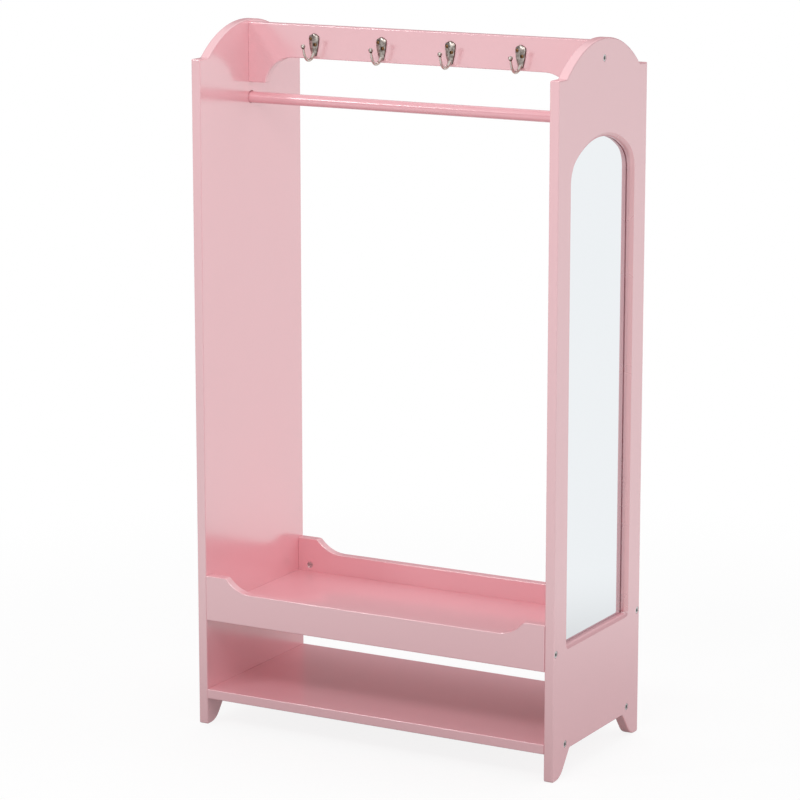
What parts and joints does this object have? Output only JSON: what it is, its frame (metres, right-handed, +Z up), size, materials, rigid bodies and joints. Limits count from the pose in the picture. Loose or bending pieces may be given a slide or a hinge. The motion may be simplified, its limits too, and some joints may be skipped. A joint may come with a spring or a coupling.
{
  "type": "children's dress-up storage unit",
  "caption": "Arched child-height dress-up stand: painted boards, hook rail, hanging rod, scalloped toy tray, shoe shelf and a long arched mirror let into one end panel.",
  "frame": {"origin": "middle of the unit's footprint on the floor, under the centre of the two panels' feet", "axes": "+Z up; X is the width, with the mirror panel at +X; Y is the depth, with the hooks and the front towards -Y"},
  "size_m": [0.605, 0.29, 1.068],
  "materials": {
    "painted_board": "satin pink paint on board with softened edges",
    "painted_rod": "satin pink paint on a turned rod",
    "mirror": "silvered flat glass",
    "backing_board": "satin pink paint on thin board",
    "clip_steel": "zinc-plated steel",
    "hook_metal": "antique nickel plate with polished prong and ball",
    "screw_brass": "aged brass",
    "fitting_steel": "zinc-plated steel",
    "beech": "bare beech"
  },
  "bodies": {
    "frame": {"left_side_panel": "painted_board", "right_side_panel": "painted_board", "top_rail": "painted_board", "tray_front_rail": "painted_board", "tray_back_rail": "painted_board", "tray_floor": "painted_board", "bottom_shelf": "painted_board", "mirror_glass": "mirror", "mirror_backing": "backing_board", "mirror_clips": "clip_steel", "mirror_clip_screws": "clip_steel", "hook_1": "hook_metal", "hook_2": "hook_metal", "hook_3": "hook_metal", "hook_4": "hook_metal", "hook_screws": "screw_brass", "top_rail_bolts": "fitting_steel", "tray_rail_bolts": "fitting_steel", "shelf_bolts": "fitting_steel", "top_rail_barrel_nuts": "fitting_steel", "tray_rail_barrel_nuts": "fitting_steel", "shelf_barrel_nuts": "fitting_steel", "top_rail_dowels": "beech", "tray_rail_dowels": "beech", "tray_floor_dowels": "beech", "tray_floor_end_dowels": "beech", "shelf_dowels": "beech"},
    "rod": {"hanging_rod": "painted_rod"}
  },
  "joints": [
    {"name": "rod_spin", "type": "hinge", "parent": "frame", "child": "rod", "pos_m": [0, 0, 0.95], "axis": [1, 0, 0], "continuous": true}
  ]
}
